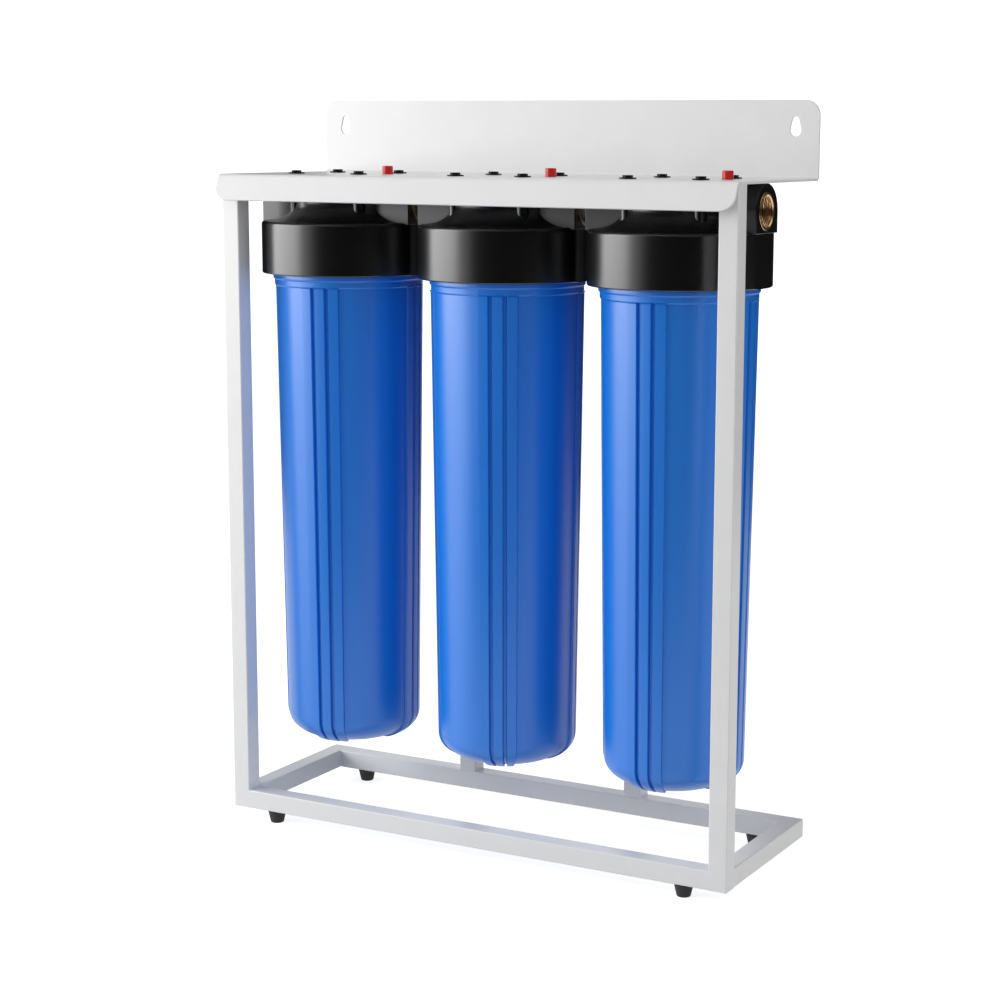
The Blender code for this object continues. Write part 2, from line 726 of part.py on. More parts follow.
def sump_shell():
    """The outside, solid inside: plain rings round the neck, bridged to the ribbed body."""
    shape = bmesh.new()
    plain = []
    for radius, height in plain_rings():
        plain.append([shape.verts.new((x, y, height)) for x, y in circle((0, 0), radius, neck_steps)])
    ribbed = []
    marks = rib_angles()
    for radius, height, out, down in ribbed_rings():
        ring = []
        for angle, on_rib in marks:
            reach = radius + on_rib * out
            spot = (reach * math.cos(angle), reach * math.sin(angle), height - on_rib * down)
            ring.append(shape.verts.new(spot))
        ribbed.append(ring)
    skin(shape, plain)
    skin(shape, ribbed)
    seam = set(plain[-1] + ribbed[0])
    border = [edge for edge in shape.edges if edge.is_boundary and seam.issuperset(edge.verts)]
    bmesh.ops.bridge_loops(shape, edges=border)
    shape.faces.new(plain[0])
    shape.faces.new(ribbed[-1])
    return finish_mesh(shape, "sump")


def sump_hollow():
    """The inside, with the ring that the cartridge stands on left in its floor."""
    low_radius = body_bottom_radius - body_wall
    flat = seat_ring_radius + seat_ring_wall
    dome = arc((flat, dome_top_z), (low_radius - flat, dome_depth), 0, -90, dome_steps)
    outline = [(0, neck_top_z + overrun), (mouth_radius, neck_top_z + overrun), (mouth_radius, neck_low_z)]
    outline += dome + [(seat_ring_radius, floor_z), (seat_ring_radius, seat_ring_z),
                       (cartridge_bore_radius, seat_ring_z), (cartridge_bore_radius, floor_z), (0, floor_z)]
    return turned("hollow", outline, sump_bore_steps)


def seal_groove():
    """The ring cut in the top of the neck for its seal."""
    inner = seal_radius - seal_section - ring_gap
    outer = seal_radius + seal_section + ring_gap
    low = neck_top_z - seal_groove_depth
    high = neck_top_z + overrun
    return turned("groove", [(inner, low), (outer, low), (outer, high), (inner, high)], sump_bore_steps)


def make_sumps():
    mesh = carved("sump", sump_shell(), [("DIFFERENCE", sump_hollow()), ("DIFFERENCE", seal_groove())])
    seal_z = neck_top_z - seal_groove_depth + seam_gap + seal_section
    seal = turned("seal", circle((seal_radius, seal_z), seal_section, seal_steps), sump_bore_steps)
    for stage, x, turn in zip(stages, housing_x, sump_turns):
        place(f"{stage}_sump", mesh, "blue_plastic", (x, housing_y, cap_top), turn)
        place(f"{stage}_body_o_ring", seal, "black_rubber", (x, housing_y, cap_top), turn)


# Cartridges
def sleeve(name, outer, low, high):
    """A thick sleeve with the bore that all cartridges share."""
    outline = [(cartridge_bore_radius, low), (outer, low), (outer, high), (cartridge_bore_radius, high)]
    return turned(name, outline, cartridge_steps)


def make_cartridges():
    """A plain spun depth filter in the left housing, and carbon blocks with end caps in the others."""
    low_end_top = cartridge_low_z + cartridge_end_height
    top_end_low = cartridge_top_z - cartridge_end_height
    end_radius = cartridge_radius + cartridge_end_lip
    depth_filter = sleeve("depth_filter", cartridge_radius, cartridge_low_z, cartridge_top_z)
    carbon_block = sleeve("carbon_block", cartridge_radius, low_end_top + seam_gap, top_end_low - seam_gap)
    low_end = sleeve("low_end", end_radius, cartridge_low_z, low_end_top)
    top_end = sleeve("top_end", end_radius, top_end_low, cartridge_top_z)
    place("left_cartridge", depth_filter, "spun_polypropylene", (housing_x[0], housing_y, cap_top))
    for stage, x in zip(stages[1:], housing_x[1:]):
        place(f"{stage}_cartridge", carbon_block, "carbon_block", (x, housing_y, cap_top))
        place(f"{stage}_cartridge_low_end", low_end, "black_plastic", (x, housing_y, cap_top))
        place(f"{stage}_cartridge_top_end", top_end, "black_plastic", (x, housing_y, cap_top))


materials = {name: make_finish(name) for name in finishes}
make_stand()
make_feet()
make_bracket()
make_caps()
make_inserts()
make_nipples()
make_cap_screws()
make_relief_valves()
make_sumps()
make_cartridges()
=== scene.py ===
# %% [markdown]
# # A water filter set, dressed for its photograph
#
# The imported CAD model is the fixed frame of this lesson: it says where every piece is and how it moves.
# What follows gives each piece the rounding, the threads, the welds and the surface that the real one has.
# Lengths are in metres, +X runs from the inlet to the outlet, +Y to the back and +Z up.

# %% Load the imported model
import json
import math

import bmesh
import bpy
import numpy as np
from mathutils import Matrix, Vector


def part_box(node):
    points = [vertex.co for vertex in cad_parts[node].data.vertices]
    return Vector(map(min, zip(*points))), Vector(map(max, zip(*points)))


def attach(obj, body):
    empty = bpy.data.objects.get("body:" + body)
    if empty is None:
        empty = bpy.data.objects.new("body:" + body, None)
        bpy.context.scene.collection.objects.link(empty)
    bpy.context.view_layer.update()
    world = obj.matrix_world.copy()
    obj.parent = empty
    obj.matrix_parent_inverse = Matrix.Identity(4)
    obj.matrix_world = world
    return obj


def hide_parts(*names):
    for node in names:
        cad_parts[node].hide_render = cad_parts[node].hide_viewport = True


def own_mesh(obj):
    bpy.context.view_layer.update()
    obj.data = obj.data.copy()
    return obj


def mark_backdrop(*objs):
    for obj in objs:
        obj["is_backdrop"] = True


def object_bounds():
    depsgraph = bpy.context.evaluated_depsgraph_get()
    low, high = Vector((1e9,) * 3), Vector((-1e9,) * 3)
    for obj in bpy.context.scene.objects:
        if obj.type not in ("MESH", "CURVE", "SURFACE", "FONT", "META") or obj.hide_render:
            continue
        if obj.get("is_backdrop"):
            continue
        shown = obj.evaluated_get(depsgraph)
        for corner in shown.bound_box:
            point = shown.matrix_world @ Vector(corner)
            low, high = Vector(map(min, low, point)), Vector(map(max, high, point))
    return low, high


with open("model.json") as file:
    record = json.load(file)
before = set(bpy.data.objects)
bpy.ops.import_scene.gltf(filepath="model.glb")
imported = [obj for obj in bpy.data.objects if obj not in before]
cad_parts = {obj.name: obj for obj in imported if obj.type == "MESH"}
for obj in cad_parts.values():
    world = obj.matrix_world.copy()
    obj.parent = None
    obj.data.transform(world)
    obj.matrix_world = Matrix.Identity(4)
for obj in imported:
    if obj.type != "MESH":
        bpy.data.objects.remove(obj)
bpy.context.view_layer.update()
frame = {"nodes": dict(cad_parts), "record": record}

nodes = frame["nodes"]
mm = 0.001

# %% [markdown]
# ## Camera
#
# The photographer stood to the right of the set and a little above its middle. The camera's place, its turn
# and its focal length were solved from the corners of the stand in the photograph.
# A turn about Z, a tilt and a slight roll are multiplied in that order, as on a tripod head.

# %% Camera
camera_place = (1.1083, -1.9717, 0.7471)
camera_turn, camera_tilt, camera_roll = math.radians(28.0), math.radians(-9.57), math.radians(0.28)
focal_length, frame_shift = 78.65, -0.06

camera = bpy.data.objects.new("camera", bpy.data.cameras.new("camera"))
bpy.context.scene.collection.objects.link(camera)
tripod = Matrix.Rotation(camera_turn, 4, "Z") @ Matrix.Rotation(math.pi / 2 + camera_tilt, 4, "X")
camera.matrix_world = Matrix.Translation(camera_place) @ tripod @ Matrix.Rotation(camera_roll, 4, "Z")
camera.data.lens = focal_length
camera.data.shift_x = frame_shift
bpy.context.scene.camera = camera
print("camera at", camera_place, "lens", focal_length)

# %% [markdown]
# ## Working by hand, in code
#
# Each operator acts on what is selected, as in the window. So a few small helpers select one object, pick
# faces, edges or vertices by a test on their place, and let go again. With them the rest reads like a
# list of the steps that a modeller would take by mouse.

# %% Selecting and picking
weld_distance = 0.01 * mm


def select_only(piece):
    """Deselect everything, then select this piece and make it active."""
    bpy.ops.object.select_all(action="DESELECT")
    piece.select_set(True)
    bpy.context.view_layer.objects.active = piece


def edit(piece, mode="VERT"):
    """Enter edit mode on one piece."""
    select_only(piece)
    bpy.ops.object.mode_set(mode="EDIT")
    bpy.ops.mesh.select_mode(type=mode)


def done():
    """Leave edit mode."""
    bpy.ops.object.mode_set(mode="OBJECT")


def pick(piece, kind, test):
    """In edit mode, select the vertices, edges or faces that pass a test."""
    bpy.ops.mesh.select_all(action="DESELECT")
    shape = bmesh.from_edit_mesh(piece.data)
    for item in getattr(shape, kind):
        if test(item):
            item.select_set(True)
    shape.select_flush_mode()
    bmesh.update_edit_mesh(piece.data)


def fresh(name):
    """Name the object that an operator has just added, and put its place into its mesh."""
    piece = bpy.context.object
    piece.name = piece.data.name = name
    bpy.ops.object.transform_apply(location=True, rotation=True, scale=True)
    return piece


def apply_modifier(piece, kind, **settings):
    """Add one modifier with its settings and apply it."""
    select_only(piece)
    modifier = piece.modifiers.new(kind.lower(), kind)
    for name, value in settings.items():
        setattr(modifier, name, value)
    bpy.ops.object.modifier_apply(modifier=modifier.name)
    return piece


def smooth(piece, degrees=35):
    """Smooth shading that keeps real corners sharp and flat faces flat."""
    select_only(piece)
    bpy.ops.object.shade_smooth_by_angle(angle=math.radians(degrees))
    return apply_modifier(piece, "WEIGHTED_NORMAL", keep_sharp=True)


def carve(piece, operation, *tools):
    """Join tools to a piece, or cut them from it, one after the other."""
    for tool in tools:
        apply_modifier(piece, "BOOLEAN", operation=operation, object=tool, solver="EXACT")
        bpy.data.objects.remove(tool)
    return piece


def copied(piece, name, matrix):
    """A copy with a mesh of its own, moved inside that mesh."""
    copy = piece.copy()
    copy.data = piece.data.copy()
    copy.name = copy.data.name = name
    copy.data.transform(matrix)
    bpy.context.scene.collection.objects.link(copy)
    return copy


def joined(pieces, name):
    """Several pieces made into one."""
    select_only(pieces[0])
    for piece in pieces:
        piece.select_set(True)
    bpy.ops.object.join()
    pieces[0].name = pieces[0].data.name = name
    return pieces[0]


# %% [markdown]
# ## Basic forms
#
# Most pieces start as a box, a rod or a turned form. A turned form is drawn as an outline, from one vertex
# that is extruded point by point, and then spun about Z, as on a lathe.

# %% Boxes, rods and turned forms
def add_box(name, low, high):
    """A box between two corners."""
    low, high = Vector(low), Vector(high)
    bpy.ops.object.select_all(action="DESELECT")
    bpy.ops.mesh.primitive_cube_add(size=1, location=(low + high) / 2, scale=high - low)
    return fresh(name)


def add_rod(name, radius, low, high, centre=(0, 0), axis="Z", sides=48, edge=0.0):
    """A round rod between two places on its axis, with rounded rims if an edge is given."""
    along_x = axis == "X"
    middle = (low + high) / 2
    place = (middle, *centre) if along_x else (*centre, middle)
    turn = (0, math.pi / 2, 0) if along_x else (0, 0, 0)
    bpy.ops.object.select_all(action="DESELECT")
    bpy.ops.mesh.primitive_cylinder_add(vertices=sides, radius=radius, depth=high - low, location=place,
                                        rotation=turn)
    rod = fresh(name)
    if edge:
        edit(rod, "EDGE")
        pick(rod, "edges", lambda e: any(len(face.verts) > 4 for face in e.link_faces))
        bpy.ops.mesh.bevel(offset=edge, segments=3, affect="EDGES")
        done()
    return rod


def arc(centre, radii, start, end, steps):
    """Points of an arc or ellipse in an outline, from one angle to another in degrees."""
    angles = [math.radians(start + (end - start) * step / steps) for step in range(steps + 1)]
    return [(centre[0] + radii[0] * math.cos(angle), centre[1] + radii[1] * math.sin(angle)) for angle in angles]


def draw(name, outline, closed):
    """An object in edit mode that holds one outline in the XZ plane, drawn point by point."""
    bpy.ops.object.select_all(action="DESELECT")
    bpy.ops.mesh.primitive_plane_add(size=1)
    piece = fresh(name)
    edit(piece)
    bpy.ops.mesh.select_all(action="SELECT")
    bpy.ops.mesh.merge(type="CENTER")
    bpy.ops.transform.translate(value=(outline[0][0], 0, outline[0][1]))
    path = list(outline) + (list(outline[:1]) if closed else [])
    for (x, z), (next_x, next_z) in zip(path, path[1:]):
        bpy.ops.mesh.extrude_vertices_move(TRANSFORM_OT_translate={"value": (next_x - x, 0, next_z - z)})
    bpy.ops.mesh.select_all(action="SELECT")
    bpy.ops.mesh.remove_doubles(threshold=weld_distance)
    return piece


def add_turned(name, outline, spans=((64, 360),)):
    """Spin an outline of (radius, height) points about Z, in spans of so many steps and degrees."""
    piece = draw(name, outline, closed=outline[0][0] > 0)
    for steps, degrees in spans:
        bpy.ops.mesh.spin(steps=steps, angle=math.radians(degrees), center=(0, 0, 0), axis=(0, 0, 1))
    bpy.ops.mesh.select_all(action="SELECT")
    bpy.ops.mesh.remove_doubles(threshold=weld_distance)
    bpy.ops.mesh.normals_make_consistent(inside=False)
    done()
    return piece


# %% [markdown]
# ## Materials
#
# Every finish is a small node tree: a Principled shader whose colour, roughness and bump vary as the real
# surface does. Patterns read Object coordinates, so they stay on the piece, and each pattern's scale is
# one over its real size. Colours are written as sRGB hex values and turned to linear light by one function.

# %% Helpers for materials
def colour(hex_value, alpha=1.0):
    """An sRGB hex colour as linear values."""
    channels = [int(hex_value[i:i + 2], 16) / 255 for i in (1, 3, 5)]
    return (*[c / 12.92 if c <= 0.04045 else ((c + 0.055) / 1.055) ** 2.4 for c in channels], alpha)


def add_node(tree, kind, settings=None, inputs=None):
    """Add one node. Inputs are values, or the outputs of other nodes to link."""
    made = tree.nodes.new(kind)
    for name, value in (settings or {}).items():
        setattr(made, name, value)
    for name, value in (inputs or {}).items():
        if isinstance(value, bpy.types.NodeSocket):
            tree.links.new(value, made.inputs[name])
        else:
            made.inputs[name].default_value = value
    return made


def new_finish(name, pale, dark, grain, stretch=(1, 1, 1), rough=(0.3, 0.4), bump=0.1, depth=0.1 * mm, **shader):
    """A surface whose colour, gloss and height follow one noise of a given grain size."""
    material = bpy.data.materials.new(name)
    material.use_nodes = True
    tree = material.node_tree
    surface = tree.nodes["Principled BSDF"]
    for socket, value in shader.items():
        surface.inputs[socket.replace("_", " ")].default_value = value
    place = add_node(tree, "ShaderNodeTexCoord").outputs["Object"]
    mapped = add_node(tree, "ShaderNodeMapping", {}, {"Vector": place, "Scale": stretch}).outputs["Vector"]
    noise = add_node(tree, "ShaderNodeTexNoise", {}, {"Vector": mapped, "Scale": 1 / grain, "Detail": 3.0})
    cloud = add_node(tree, "ShaderNodeTexNoise", {}, {"Vector": mapped, "Scale": 0.05 / grain, "Detail": 2.0})
    blend = add_node(tree, "ShaderNodeMix", {"data_type": "RGBA"}, {0: cloud.outputs["Fac"]})
    blend.inputs[6].default_value = colour(pale)
    blend.inputs[7].default_value = colour(dark)
    tree.links.new(blend.outputs[2], surface.inputs["Base Color"])
    gloss = add_node(tree, "ShaderNodeMapRange", {}, {"Value": noise.outputs["Fac"], "To Min": rough[0],
                                                      "To Max": rough[1]})
    tree.links.new(gloss.outputs["Result"], surface.inputs["Roughness"])
    relief = add_node(tree, "ShaderNodeBump", {}, {"Height": noise.outputs["Fac"], "Strength": bump,
                                                   "Distance": depth})
    tree.links.new(relief.outputs["Normal"], surface.inputs["Normal"])
    return material


# %% [markdown]
# ### The finishes of this object
#
# - White polyester powder coat, baked on steel. Its satin sheen and an orange peel of about 1.5 mm keep the
#   wide flat faces from looking like paper.
# - Blue polypropylene, injection moulded. A soft, wax-like gloss draws one long highlight down each sump,
#   faintly streaked along the draw of the mould.
# - Black glass-filled polypropylene: darker and a little glossier, with a fine grain from the mould.
# - Red acetal: the relief buttons, small and shiny, so that they catch the eye.
# - Turned brass: warm, with tool marks. Nickel on brass is paler, and blackened steel barely glints.
# - Rubber, spun fibre and pressed carbon are dull and rough: the feet, seals and cartridges.

# %% Finishes
finishes = {
    "powder_coat": new_finish("white_powder_coat_on_steel", "#E9E9E9", "#E3E3E3", 1.5 * mm, rough=(0.26, 0.34),
                              bump=0.12, depth=0.05 * mm),
    "blue_plastic": new_finish("blue_moulded_polypropylene", "#0079DF", "#0071D5", 0.8 * mm, (1, 1, 0.08),
                               rough=(0.30, 0.38), bump=0.05, depth=0.03 * mm, Specular_IOR_Level=0.8),
    "black_plastic": new_finish("black_glass_filled_polypropylene", "#0C0C0D", "#09090A", 0.7 * mm,
                                rough=(0.24, 0.34), bump=0.14, depth=0.05 * mm, Specular_IOR_Level=0.8),
    "red_plastic": new_finish("red_moulded_acetal", "#D2201A", "#B81813", 0.8 * mm, rough=(0.22, 0.30), bump=0.04),
    "brass": new_finish("turned_brass", "#E6C9A0", "#C49A66", 0.4 * mm, (6, 1, 1), rough=(0.24, 0.36), bump=0.18,
                        depth=0.03 * mm, Metallic=1.0),
    "nickel_brass": new_finish("nickel_plated_brass", "#DDD9D0", "#CFCBC2", 0.5 * mm, (6, 1, 1), rough=(0.20, 0.30),
                               bump=0.1, depth=0.02 * mm, Metallic=1.0),
    "blackened_steel": new_finish("blackened_steel", "#26262A", "#1B1B1E", 0.4 * mm, rough=(0.38, 0.52), bump=0.15,
                                  depth=0.03 * mm, Metallic=0.85),
    "spring_steel": new_finish("spring_steel_wire", "#A9A9AC", "#8E8E92", 0.3 * mm, rough=(0.25, 0.35),
                               Metallic=1.0),
    "black_rubber": new_finish("black_rubber", "#232325", "#1A1A1C", 0.5 * mm, rough=(0.62, 0.80), bump=0.25,
                               depth=0.06 * mm),
    "spun_polypropylene": new_finish("spun_polypropylene_fibre", "#F2F1EA", "#DDDCD2", 0.9 * mm, (1, 1, 5),
                                     rough=(0.8, 0.95), bump=0.6, depth=0.5 * mm),
    "carbon_block": new_finish("pressed_carbon_block", "#2A2A2B", "#161617", 0.7 * mm, rough=(0.8, 0.95), bump=0.5,
                               depth=0.3 * mm),
}
slot_of = {part["node"]: part["material_slot"] for part in frame["record"]["subparts"]}
for name, node in nodes.items():
    for place in node.material_slots:
        place.material = finishes[slot_of[name]]
print("finishes:", len(finishes))


def dress(piece, body, *replaced, slot=None):
    """Give a finished piece its surface, its body and the CAD nodes that it stands for."""
    slot = slot or slot_of[replaced[0]]
    piece.data.materials.clear()
    piece.data.materials.append(finishes[slot])
    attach(piece, body)
    if replaced:
        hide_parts(*replaced)
    return piece


# %% [markdown]
# ## Stand
#
# The stand is square tube, cut, mitred at the two rear corners and welded. A cube is stretched to each
# tube's place and its long edges are rounded. A mitre is sawn with Bisect. Then the end faces are inset by
# the wall and bridged, which opens the tube from end to end. The CAD leaves a thin gap at each joint, and
# here the tubes reach each other.

# %% Tubes
tube_side, tube_wall, tube_corner = 20 * mm, 1.5 * mm, 1.2 * mm
joint_gap, saw_room = 0.3 * mm, 1 * mm
weld_reach = joint_gap + tube_corner


def add_tube(node, low_reach=0.0, high_reach=0.0, saw_cuts=()):
    """One tube in the place of its CAD node. A saw cut is a point and the direction of what falls off."""
    low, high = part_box(node)
    axis = max(range(3), key=lambda i: high[i] - low[i])
    low[axis] -= low_reach
    high[axis] += high_reach
    tube = add_box(node + "_tube", low, high)
    edit(tube, "EDGE")
    pick(tube, "edges", lambda e: abs(e.verts[0].co[axis] - e.verts[1].co[axis]) > 2 * tube_side)
    bpy.ops.mesh.bevel(offset=tube_corner, segments=4, affect="EDGES")
    for corner, falls in saw_cuts:
        bpy.ops.mesh.select_all(action="SELECT")
        bpy.ops.mesh.bisect(plane_co=corner, plane_no=falls, use_fill=True, clear_outer=True)
    bpy.ops.mesh.select_mode(type="FACE")
    pick(tube, "faces", lambda f: len(f.verts) > 4)
    bpy.ops.mesh.inset(thickness=tube_wall)
    bpy.ops.mesh.bridge_edge_loops()
    done()
    return dress(smooth(tube), "stand", node)


rear_low, rear_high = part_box("base_rear_rail")
left_corner = (rear_low.x + tube_side, rear_low.y, 0)
right_corner = (rear_high.x - tube_side, rear_low.y, 0)
add_tube("base_front_rail", weld_reach, weld_reach)
add_tube("base_rear_rail", saw_room, saw_room, [(left_corner, (-1, -1, 0)), (right_corner, (1, -1, 0))])
add_tube("base_left_rail", weld_reach, saw_room, [(left_corner, (1, 1, 0))])
add_tube("base_right_rail", weld_reach, saw_room, [(right_corner, (-1, 1, 0))])
for side in ("left", "right"):
    add_tube(f"front_{side}_post", 0, joint_gap)
    add_tube(f"rear_{side}_post", joint_gap, joint_gap)
print("tubes: 8")

# %% [markdown]
# Welds show under the powder coat as low rippled beads in the inner corners. One bead is a short rod, cut
# into rings of which every other one is pinched, and it is copied to each corner.

# %% Welds
bead_radius, bead_pinch, bead_cuts = 1.3 * mm, 0.86, 14
bead_half = tube_side / 2 - tube_corner
post_low, post_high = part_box("front_right_post")
rear_post_low, rear_post_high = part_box("rear_right_post")
base_top = rear_high.z
bead = add_rod("bead", bead_radius, -bead_half, bead_half, axis="X", sides=10)
edit(bead, "EDGE")
pick(bead, "edges", lambda e: abs(e.verts[0].co.x - e.verts[1].co.x) > bead_radius)
bpy.ops.mesh.subdivide(number_cuts=bead_cuts)
ring_step = 2 * bead_half / (bead_cuts + 1)
bpy.ops.mesh.select_mode(type="VERT")
pick(bead, "verts", lambda v: round((v.co.x + bead_half) / ring_step) % 2 == 1)
bpy.ops.transform.resize(value=(1, bead_pinch, bead_pinch), center_override=(0, 0, 0))
pick(bead, "verts", lambda v: abs(v.co.x) > bead_half - ring_step / 2)
bpy.ops.transform.resize(value=(1, 0.4, 0.4), center_override=(0, 0, 0))
done()
across = Matrix.Rotation(math.pi / 2, 4, "Z")
upright = Matrix.Rotation(math.pi / 2, 4, "Y")
spots = []
for sign in (-1, 1):
    middle_y = (post_low.y + post_high.y) / 2
    spots.append(Matrix.Translation((sign * post_low.x, middle_y, base_top)) @ across)
    spots.append(Matrix.Translation((sign * (post_low.x + tube_side / 2), post_high.y, base_top)))
    spots.append(Matrix.Translation((sign * post_low.x, rear_low.y, base_top - tube_side / 2)) @ upright)
    for x in (rear_post_low.x, rear_post_high.x):
        middle_y = (rear_post_low.y + rear_post_high.y) / 2
        spots.append(Matrix.Translation((sign * x, middle_y, base_top)) @ across)
beads = [copied(bead, f"bead_{i}", spot) for i, spot in enumerate(spots)]
bpy.data.objects.remove(bead)
dress(smooth(joined(beads, "stand_weld_beads"), 60), "stand", slot="powder_coat")
print("weld beads:", len(spots))

# %% [markdown]
# The four rubber feet are turned: a tapered plug with soft rims, and a barbed stem that is pushed into
# the rail.

# %% Feet
foot_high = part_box("front_left_foot")[1]
foot_seat = rear_low.z - joint_gap
foot_top_radius, foot_bottom_radius, stem_radius, barb_radius = 9.8 * mm, 7.2 * mm, 3.0 * mm, 4.2 * mm
soft_rim, barb_land = 1.0 * mm, 0.4 * mm
barb_z = foot_high.z - 3.5 * mm
foot_outline = [(0, 0)] + arc((foot_bottom_radius - soft_rim, soft_rim), (soft_rim, soft_rim), -90, -8, 5)
foot_outline += arc((foot_top_radius - soft_rim, foot_seat - soft_rim), (soft_rim, soft_rim), -8, 90, 6)
foot_outline += [(stem_radius, foot_seat), (stem_radius, barb_z), (barb_radius, barb_z),
                 (barb_radius, barb_z + barb_land), (stem_radius, foot_high.z), (0, foot_high.z)]
foot = add_turned("foot", foot_outline, [(40, 360)])
for node in ("front_left_foot", "front_right_foot", "rear_left_foot", "rear_right_foot"):
    low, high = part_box(node)
    middle_y = (post_low.y + post_high.y) / 2 if "front" in node else (rear_low.y + rear_high.y) / 2
    spot = Matrix.Translation(((low.x + high.x) / 2, middle_y, 0))
    dress(smooth(copied(foot, node + "_rubber", spot), 40), "stand", node)
bpy.data.objects.remove(foot)
print("feet: 4")

# %% [markdown]
# ## Bracket
#
# The bracket is one sheet, folded twice. A plane is laid where the shelf is, the rear edge is extruded up
# and the front edge down and forwards. The fold lines are rounded to their real bends, the free corners
# to 16 mm, and Solidify gives the sheet its thickness. Holes are cut, and the rims are softened
# as a powder coat softens them.

# %% Folded sheet
sheet, bend_outside, bend_inside = 2.5 * mm, 5.5 * mm, 3.0 * mm
lip_lean, lip_gap, lip_drop, sheet_corner = math.radians(22), 0.5 * mm, 27.5 * mm, 16 * mm
low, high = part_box("top_bracket")
shelf_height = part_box("rear_left_post")[1].z + joint_gap + sheet
plate_face = high.y - sheet
front_tangent = bend_outside * math.tan((math.pi / 2 - lip_lean) / 2)
fold_y = post_low.y - lip_gap - front_tangent
lip_fall = Vector((0, -math.sin(lip_lean), -math.cos(lip_lean)))
lip_length = (lip_drop - bend_outside + bend_inside * math.sin(lip_lean)) / math.cos(lip_lean)
bpy.ops.object.select_all(action="DESELECT")
bpy.ops.mesh.primitive_plane_add(size=1, location=(0, (fold_y + plate_face) / 2, shelf_height))
bpy.context.object.scale = (high.x - low.x, plate_face - fold_y, 1)
bracket = fresh("folded_bracket")
edit(bracket, "EDGE")
pick(bracket, "edges", lambda e: all(v.co.y > plate_face - mm for v in e.verts))
bpy.ops.mesh.extrude_region_move(TRANSFORM_OT_translate={"value": (0, 0, high.z - shelf_height)})
pick(bracket, "edges", lambda e: all(v.co.y < fold_y + mm for v in e.verts))
bpy.ops.mesh.extrude_region_move(TRANSFORM_OT_translate={"value": lip_fall * (lip_length + front_tangent)})
on_shelf = lambda v: abs(v.co.z - shelf_height) < mm
pick(bracket, "edges", lambda e: all(on_shelf(v) and v.co.y < fold_y + mm for v in e.verts))
bpy.ops.mesh.bevel(offset=front_tangent, segments=8, affect="EDGES")
pick(bracket, "edges", lambda e: all(on_shelf(v) and v.co.y > plate_face - mm for v in e.verts))
bpy.ops.mesh.bevel(offset=bend_inside, segments=8, affect="EDGES")
bpy.ops.mesh.select_mode(type="VERT")
pick(bracket, "verts", lambda v: len(v.link_edges) == 2)
bpy.ops.mesh.bevel(offset=sheet_corner, segments=10, affect="VERTICES")
bpy.ops.mesh.select_all(action="SELECT")
bpy.ops.mesh.normals_make_consistent(inside=False)
done()
faces_down = max(bracket.data.polygons, key=lambda p: p.area).normal.z < 0
apply_modifier(bracket, "SOLIDIFY", thickness=sheet, offset=1 if faces_down else -1, use_even_offset=True)
print("bracket", [round(side, 4) for side in bracket.dimensions])

# %% Holes in the sheet
stages = ("left", "middle", "right")
corners = ("front_left", "rear_left", "front_right", "rear_right")
keyhole_inset, keyhole_drop, keyhole_rise = 26 * mm, 30.4 * mm, 10 * mm
keyhole_radius, slot_radius = 6.0 * mm, 3.7 * mm
screw_hole_radius, valve_hole_radius, rim = 3.4 * mm, 7.2 * mm, 0.45 * mm
lean = math.asin((keyhole_radius - slot_radius) / keyhole_rise)


def add_keyhole(sign):
    """A rod through the plate whose upper side is drawn up to a narrower round end."""
    centre = Vector((sign * (high.x - keyhole_inset), high.y - sheet / 2, high.z - keyhole_drop))
    bpy.ops.object.select_all(action="DESELECT")
    bpy.ops.mesh.primitive_cylinder_add(vertices=48, radius=keyhole_radius, depth=4 * sheet, location=centre,
                                        rotation=(math.pi / 2, 0, 0))
    hole = fresh("keyhole")
    edit(hole)
    pick(hole, "verts", lambda v: (v.co.z - centre.z) > keyhole_radius * math.sin(lean - 0.01))
    share = slot_radius / keyhole_radius
    bpy.ops.transform.resize(value=(share, 1, share), center_override=centre)
    bpy.ops.transform.translate(value=(0, 0, keyhole_rise))
    done()
    return hole


def middle_of(node):
    """The middle of a CAD node, seen from above."""
    node_low, node_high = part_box(node)
    return ((node_low.x + node_high.x) / 2, (node_low.y + node_high.y) / 2)


through = (shelf_height - 2 * sheet, shelf_height + sheet)
cuts = [add_keyhole(sign) for sign in (-1, 1)]
for stage in stages:
    for corner in corners:
        cuts.append(add_rod("screw_hole", screw_hole_radius, *through, middle_of(f"{stage}_cap_screw_{corner}")))
    cuts.append(add_rod("valve_hole", valve_hole_radius, *through, middle_of(f"{stage}_relief_button")))
carve(bracket, "DIFFERENCE", joined(cuts, "cuts"))
apply_modifier(bracket, "BEVEL", width=rim, segments=3, limit_method="ANGLE", angle_limit=math.radians(60))
dress(smooth(bracket, 30), "stand", "top_bracket")
print("bracket faces:", len(bracket.data.polygons))

# %% [markdown]
# ## Floor, light and room
#
# The photograph was taken in a white room, with one large soft box on the left and a weak one on the right.
# The floor and the wall behind are white to the camera and in reflections, and the floor keeps a faint
# shadow. Black flags round the set, seen only in reflections, keep the black and blue plastic deep.

# %% Floor and wall
def seen_rays(tree):
    """1 for rays of the camera, of reflections and through glass, and 0 for all others."""
    rays = add_node(tree, "ShaderNodeLightPath").outputs
    both = {0: rays["Is Camera Ray"], 1: rays["Is Glossy Ray"]}
    seen = add_node(tree, "ShaderNodeMath", {"operation": "MAXIMUM"}, both).outputs[0]
    all_three = {0: seen, 1: rays["Is Transmission Ray"]}
    return add_node(tree, "ShaderNodeMath", {"operation": "MAXIMUM"}, all_three).outputs[0]


